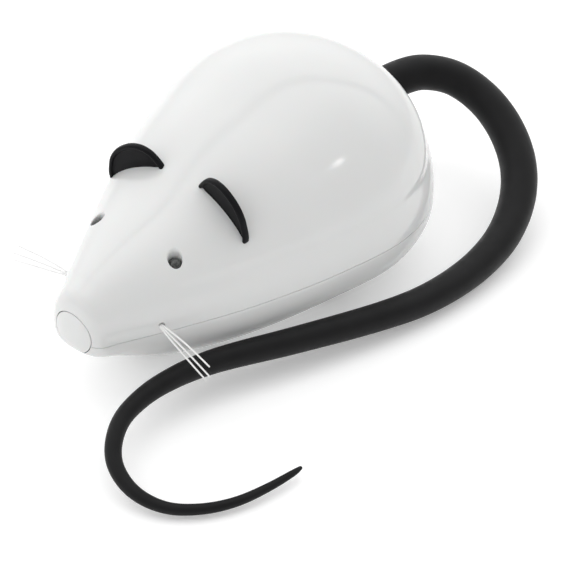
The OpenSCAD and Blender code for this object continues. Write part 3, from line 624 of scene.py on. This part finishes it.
# -------------------------------------------------------------- materials
class Mat:
    """A material with grain, slow changes of colour and of roughness, and a fine relief."""

    def __init__(self, name, base, rough, metal=0.0, vary=0.02, vary_size=0.02, dr=0.04, rough_size=0.006,
                 grain=0.0, grain_size=0.0004, waves=0.0, wave_size=0.003, stretch=(1, 1, 1), tint=None, **sockets):
        m = bpy.data.materials.new(name)
        m.use_nodes = True
        self.m, nt = m, m.node_tree
        self.nt = nt
        nt.nodes.clear()
        out = nt.nodes.new("ShaderNodeOutputMaterial")
        bs = nt.nodes.new("ShaderNodeBsdfPrincipled")
        self.bs = bs
        nt.links.new(bs.outputs["BSDF"], out.inputs["Surface"])
        tc = nt.nodes.new("ShaderNodeTexCoord")
        mp = nt.nodes.new("ShaderNodeMapping")
        mp.inputs["Scale"].default_value = stretch
        nt.links.new(tc.outputs["Object"], mp.inputs["Vector"])
        self.vec = mp.outputs["Vector"]
        bs.inputs["Metallic"].default_value = metal
        for k, v in sockets.items():
            bs.inputs[k.replace("_", " ")].default_value = v
        # colour
        n1 = self.noise(vary_size, 4)
        ramp = nt.nodes.new("ShaderNodeValToRGB")
        lo = [c * (1 - vary) for c in base]
        hi = [min(1.0, c * (1 + vary)) for c in (tint or base)]
        ramp.color_ramp.elements[0].position, ramp.color_ramp.elements[1].position = 0.3, 0.7
        ramp.color_ramp.elements[0].color = (*lo, 1)
        ramp.color_ramp.elements[1].color = (*hi, 1)
        nt.links.new(n1, ramp.inputs["Fac"])
        nt.links.new(ramp.outputs["Color"], bs.inputs["Base Color"])
        # roughness
        n2 = self.noise(rough_size, 5)
        mr = nt.nodes.new("ShaderNodeMapRange")
        mr.inputs["From Min"].default_value, mr.inputs["From Max"].default_value = 0.3, 0.7
        mr.inputs["To Min"].default_value, mr.inputs["To Max"].default_value = max(0.02, rough - dr), rough + dr
        nt.links.new(n2, mr.inputs["Value"])
        nt.links.new(mr.outputs["Result"], bs.inputs["Roughness"])
        # relief
        prev = None
        for size, h in ((wave_size, waves), (grain_size, grain)):
            if h > 0:
                b = nt.nodes.new("ShaderNodeBump")
                b.inputs["Strength"].default_value = 1.0
                b.inputs["Distance"].default_value = h
                nt.links.new(self.noise(size, 3), b.inputs["Height"])
                if prev is not None:
                    nt.links.new(prev, b.inputs["Normal"])
                prev = b.outputs["Normal"]
        if prev is not None:
            nt.links.new(prev, bs.inputs["Normal"])

    def noise(self, size, detail):
        n = self.nt.nodes.new("ShaderNodeTexNoise")
        n.inputs["Scale"].default_value = 1.0 / size
        n.inputs["Detail"].default_value = detail
        self.nt.links.new(self.vec, n.inputs["Vector"])
        return n.outputs["Fac"]


white = Mat("gloss_white_plastic", (0.72, 0.725, 0.72), 0.13, vary=0.012, vary_size=0.03, dr=0.03,
            rough_size=0.012, waves=0.000004, wave_size=0.006, grain=0.0000006, grain_size=0.0011,
            Specular_IOR_Level=0.5, Subsurface_Weight=0.06, Subsurface_Scale=0.002).m
rubber = Mat("matte_black_rubber", (0.0065, 0.0065, 0.007), 0.5, vary=0.2, vary_size=0.006, dr=0.07,
             rough_size=0.003, grain=0.00001, grain_size=0.00035, waves=0.00002, wave_size=0.0035,
             Specular_IOR_Level=0.17, Sheen_Weight=0.025, Sheen_Roughness=0.5).m
satin = Mat("satin_black_plastic", (0.006, 0.006, 0.007), 0.38, vary=0.15, vary_size=0.004, dr=0.06,
            rough_size=0.002, grain=0.000006, grain_size=0.0003, waves=0.000008, wave_size=0.002,
            Specular_IOR_Level=0.1).m
bead = Mat("dark_glass_bead", (0.006, 0.0075, 0.007), 0.06, vary=0.4, vary_size=0.0006, dr=0.03, rough_size=0.0008,
           waves=0.000012, wave_size=0.0008, grain=0.000001, grain_size=0.0002, tint=(0.05, 0.055, 0.05),
           Coat_Weight=0.2, Coat_Roughness=0.03).m
nylon = Mat("whisker_nylon_strand", (0.86, 0.86, 0.855), 0.28, vary=0.03, vary_size=0.002, dr=0.05, rough_size=0.001,
            grain=0.000002, grain_size=0.0002, stretch=(0.15, 1, 1)).m
grey = Mat("grey_moulded_plastic", (0.5, 0.5, 0.5), 0.45, vary=0.04, grain=0.000006, waves=0.00001).m
steel = Mat("brushed_steel", (0.56, 0.57, 0.58), 0.3, 1.0, vary=0.05, dr=0.08, grain=0.000003, grain_size=0.0005,
            stretch=(1, 0.12, 1), waves=0.000004).m
blued = Mat("blued_spring_steel", (0.10, 0.13, 0.22), 0.28, 1.0, vary=0.25, vary_size=0.005, dr=0.08,
            grain=0.000002, grain_size=0.0004, tint=(0.16, 0.12, 0.14)).m
screw = Mat("screw_steel", (0.45, 0.45, 0.46), 0.34, 1.0, vary=0.08, vary_size=0.002, dr=0.1, rough_size=0.001,
            grain=0.000004, grain_size=0.0003).m
brass = Mat("machined_brass", (0.72, 0.52, 0.22), 0.28, 1.0, vary=0.08, vary_size=0.006, dr=0.1, rough_size=0.002,
            grain=0.000003, grain_size=0.0003, stretch=(1, 0.3, 0.3), tint=(0.66, 0.44, 0.2)).m
wheel = Mat("wheel_plastic", (0.72, 0.72, 0.71), 0.3, vary=0.03, grain=0.000002, waves=0.000008).m
tyre = Mat("tyre_rubber", (0.02, 0.02, 0.021), 0.7, vary=0.25, vary_size=0.003, dr=0.08, grain=0.00002,
           grain_size=0.0005, waves=0.00002, wave_size=0.002, tint=(0.035, 0.033, 0.031)).m
leather = Mat("brake_leather", (0.2, 0.11, 0.06), 0.65, vary=0.2, vary_size=0.002, dr=0.1, grain=0.00003,
              grain_size=0.0005, waves=0.00003, wave_size=0.0015).m
MATS = {"white_shell": white, "black_rubber": rubber, "black_satin": satin, "eye_bead": bead,
        "whisker_nylon": nylon, "grey_plastic": grey, "steel": steel, "blued_spring": blued,
        "screw_steel": screw, "brass": brass, "wheel_plastic": wheel, "tyre_rubber": tyre, "brake_leather": leather}
for name, ob in nodes.items():
    for i, sl in enumerate(ob.material_slots):
        key = sl.material.name.split(".")[0] if sl.material else ""
        ob.data.materials[i] = MATS.get(key, steel)
    if not ob.material_slots:
        ob.data.materials.append(steel)


def dress(ob, mat, slot_name, body, *replaced):
    ob.data.materials.clear()
    ob.data.materials.append(mat)
    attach(ob, body)
    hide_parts(*replaced)


dress(upper_shell(), white, "white_shell", "body_and_frame", "upper_shell")
dress(lower_shell(), white, "white_shell", "body_and_frame", "lower_shell")
dress(nose_button(), white, "white_shell", "nose", "nose_button")
dress(tail(), rubber, "black_rubber", "body_and_frame", "tail")
for s, side in ((1, "left"), (-1, "right")):
    dress(ear(s), satin, "black_satin", "body_and_frame", "ear_" + side)
    dress(eye(s), bead, "eye_bead", "body_and_frame", "eye_" + side)
    dress(whiskers(s), nylon, "whisker_nylon", "body_and_frame", "whiskers_" + side)

# ------------------------------------------------------------------ stage
me = bpy.data.meshes.new("floor")
me.from_pydata([(-3, -3, -0.00003), (3, -3, -0.00003), (3, 3, -0.00003), (-3, 3, -0.00003)], [], [(0, 1, 2, 3)])
floor = bpy.data.objects.new("floor", me)
scene.collection.objects.link(floor)
fm = bpy.data.materials.new("floor_paper")
fm.use_nodes = True
fb = fm.node_tree.nodes["Principled BSDF"]
fb.inputs["Base Color"].default_value = (0.93, 0.93, 0.93, 1)
fb.inputs["Roughness"].default_value = 0.9
fb.inputs["Specular IOR Level"].default_value = 0.1
fb.inputs["Emission Color"].default_value = (1, 1, 1, 1)
fb.inputs["Emission Strength"].default_value = 0.2
me.materials.append(fm)

# Soft studio light: a tall panel on the mouse's right, a second one overhead with a narrow gap
# between the two, and a duller surround.
world = bpy.data.worlds.new("world")
scene.world = world
world.use_nodes = True
wt = world.node_tree
wn, wl = wt.nodes, wt.links
bg = wn["Background"]


def wmath(op, a, b=None, c=None):
    n = wn.new("ShaderNodeMath")
    n.operation = op
    for k, v in enumerate((a, b, c)):
        if v is None:
            continue
        if isinstance(v, (int, float)):
            n.inputs[k].default_value = v
        else:
            wl.new(v, n.inputs[k])
    return n.outputs[0]


def wstep(v, a, b, lo=0.0, hi=1.0):
    n = wn.new("ShaderNodeMapRange")
    n.interpolation_type = "SMOOTHSTEP"
    for k, x in zip(("From Min", "From Max", "To Min", "To Max"), (a, b, lo, hi)):
        n.inputs[k].default_value = x
    wl.new(v, n.inputs["Value"])
    return n.outputs[0]


tcw = wn.new("ShaderNodeTexCoord")
sep = wn.new("ShaderNodeSeparateXYZ")
wl.new(tcw.outputs["Generated"], sep.inputs[0])
h = wmath("ADD", wmath("MULTIPLY", sep.outputs["X"], -0.866), wmath("MULTIPLY", sep.outputs["Y"], 0.5))
z = sep.outputs["Z"]
q = wmath("SUBTRACT", wmath("MULTIPLY", h, 1.73), z)
AMB, PANEL, OVER = 0.62, 1.6, 1.85
panel = wmath("MULTIPLY", wstep(q, 0.0, 0.08), wstep(z, 0.02, 0.5, 0.3, 1.0))
panel = wmath("MULTIPLY", panel, wstep(h, 0.0, 0.35))
over = wmath("MULTIPLY", wstep(q, -0.11, -0.2), wstep(h, -0.6, 0.42))
over = wmath("MULTIPLY", over, wstep(z, 0.05, 0.6))
total = wmath("ADD", wmath("ADD", wmath("MULTIPLY", panel, PANEL - AMB), wmath("MULTIPLY", over, OVER - AMB)), AMB)
wl.new(total, bg.inputs["Strength"])
bg.inputs["Color"].default_value = (1, 1, 1, 1)


def area(name, direction, dist, size, radiance, size_y=None):
    """Rectangular light that faces the object, of a given brightness."""
    l = bpy.data.lights.new(name, "AREA")
    l.shape = "RECTANGLE"
    l.size, l.size_y = size, size_y or size
    l.energy = radiance * math.pi * l.size * l.size_y
    o = bpy.data.objects.new(name, l)
    o.location = Vector(direction).normalized() * dist + Vector((0.03, 0.01, 0.05))
    o.rotation_mode = "QUATERNION"
    o.rotation_quaternion = (-Vector(direction)).to_track_quat("-Z", "Y")
    scene.collection.objects.link(o)
    return o


area("small_window", (0.715, 0.165, 0.6925), 1.0, 0.028, 13.0, 0.085)

scene.view_settings.view_transform = "Standard"
scene.view_settings.look = "None"

cam = bpy.data.cameras.new("camera")
co = bpy.data.objects.new("camera", cam)
scene.collection.objects.link(co)
az, el, dist = math.radians(38.8), math.radians(36.3), 0.463
back = Vector((math.sin(az) * math.cos(el), -math.cos(az) * math.cos(el), math.sin(el)))
T = Vector((0, 0, 0.03))
co.location = T + back * dist
co.rotation_mode = "QUATERNION"
co.rotation_quaternion = (-back).to_track_quat("-Z", "Y")
cam.sensor_fit = "HORIZONTAL"
cam.sensor_width = 36
F_PX = 3.093 * 463.0
cam.lens = 36 * F_PX / 563
cam.shift_x = (281.5 - 231.5) / 563
cam.shift_y = (203.3 - 281.5) / 563
cam.clip_start, cam.clip_end = 0.01, 20
scene.camera = co

bpy.context.view_layer.update()
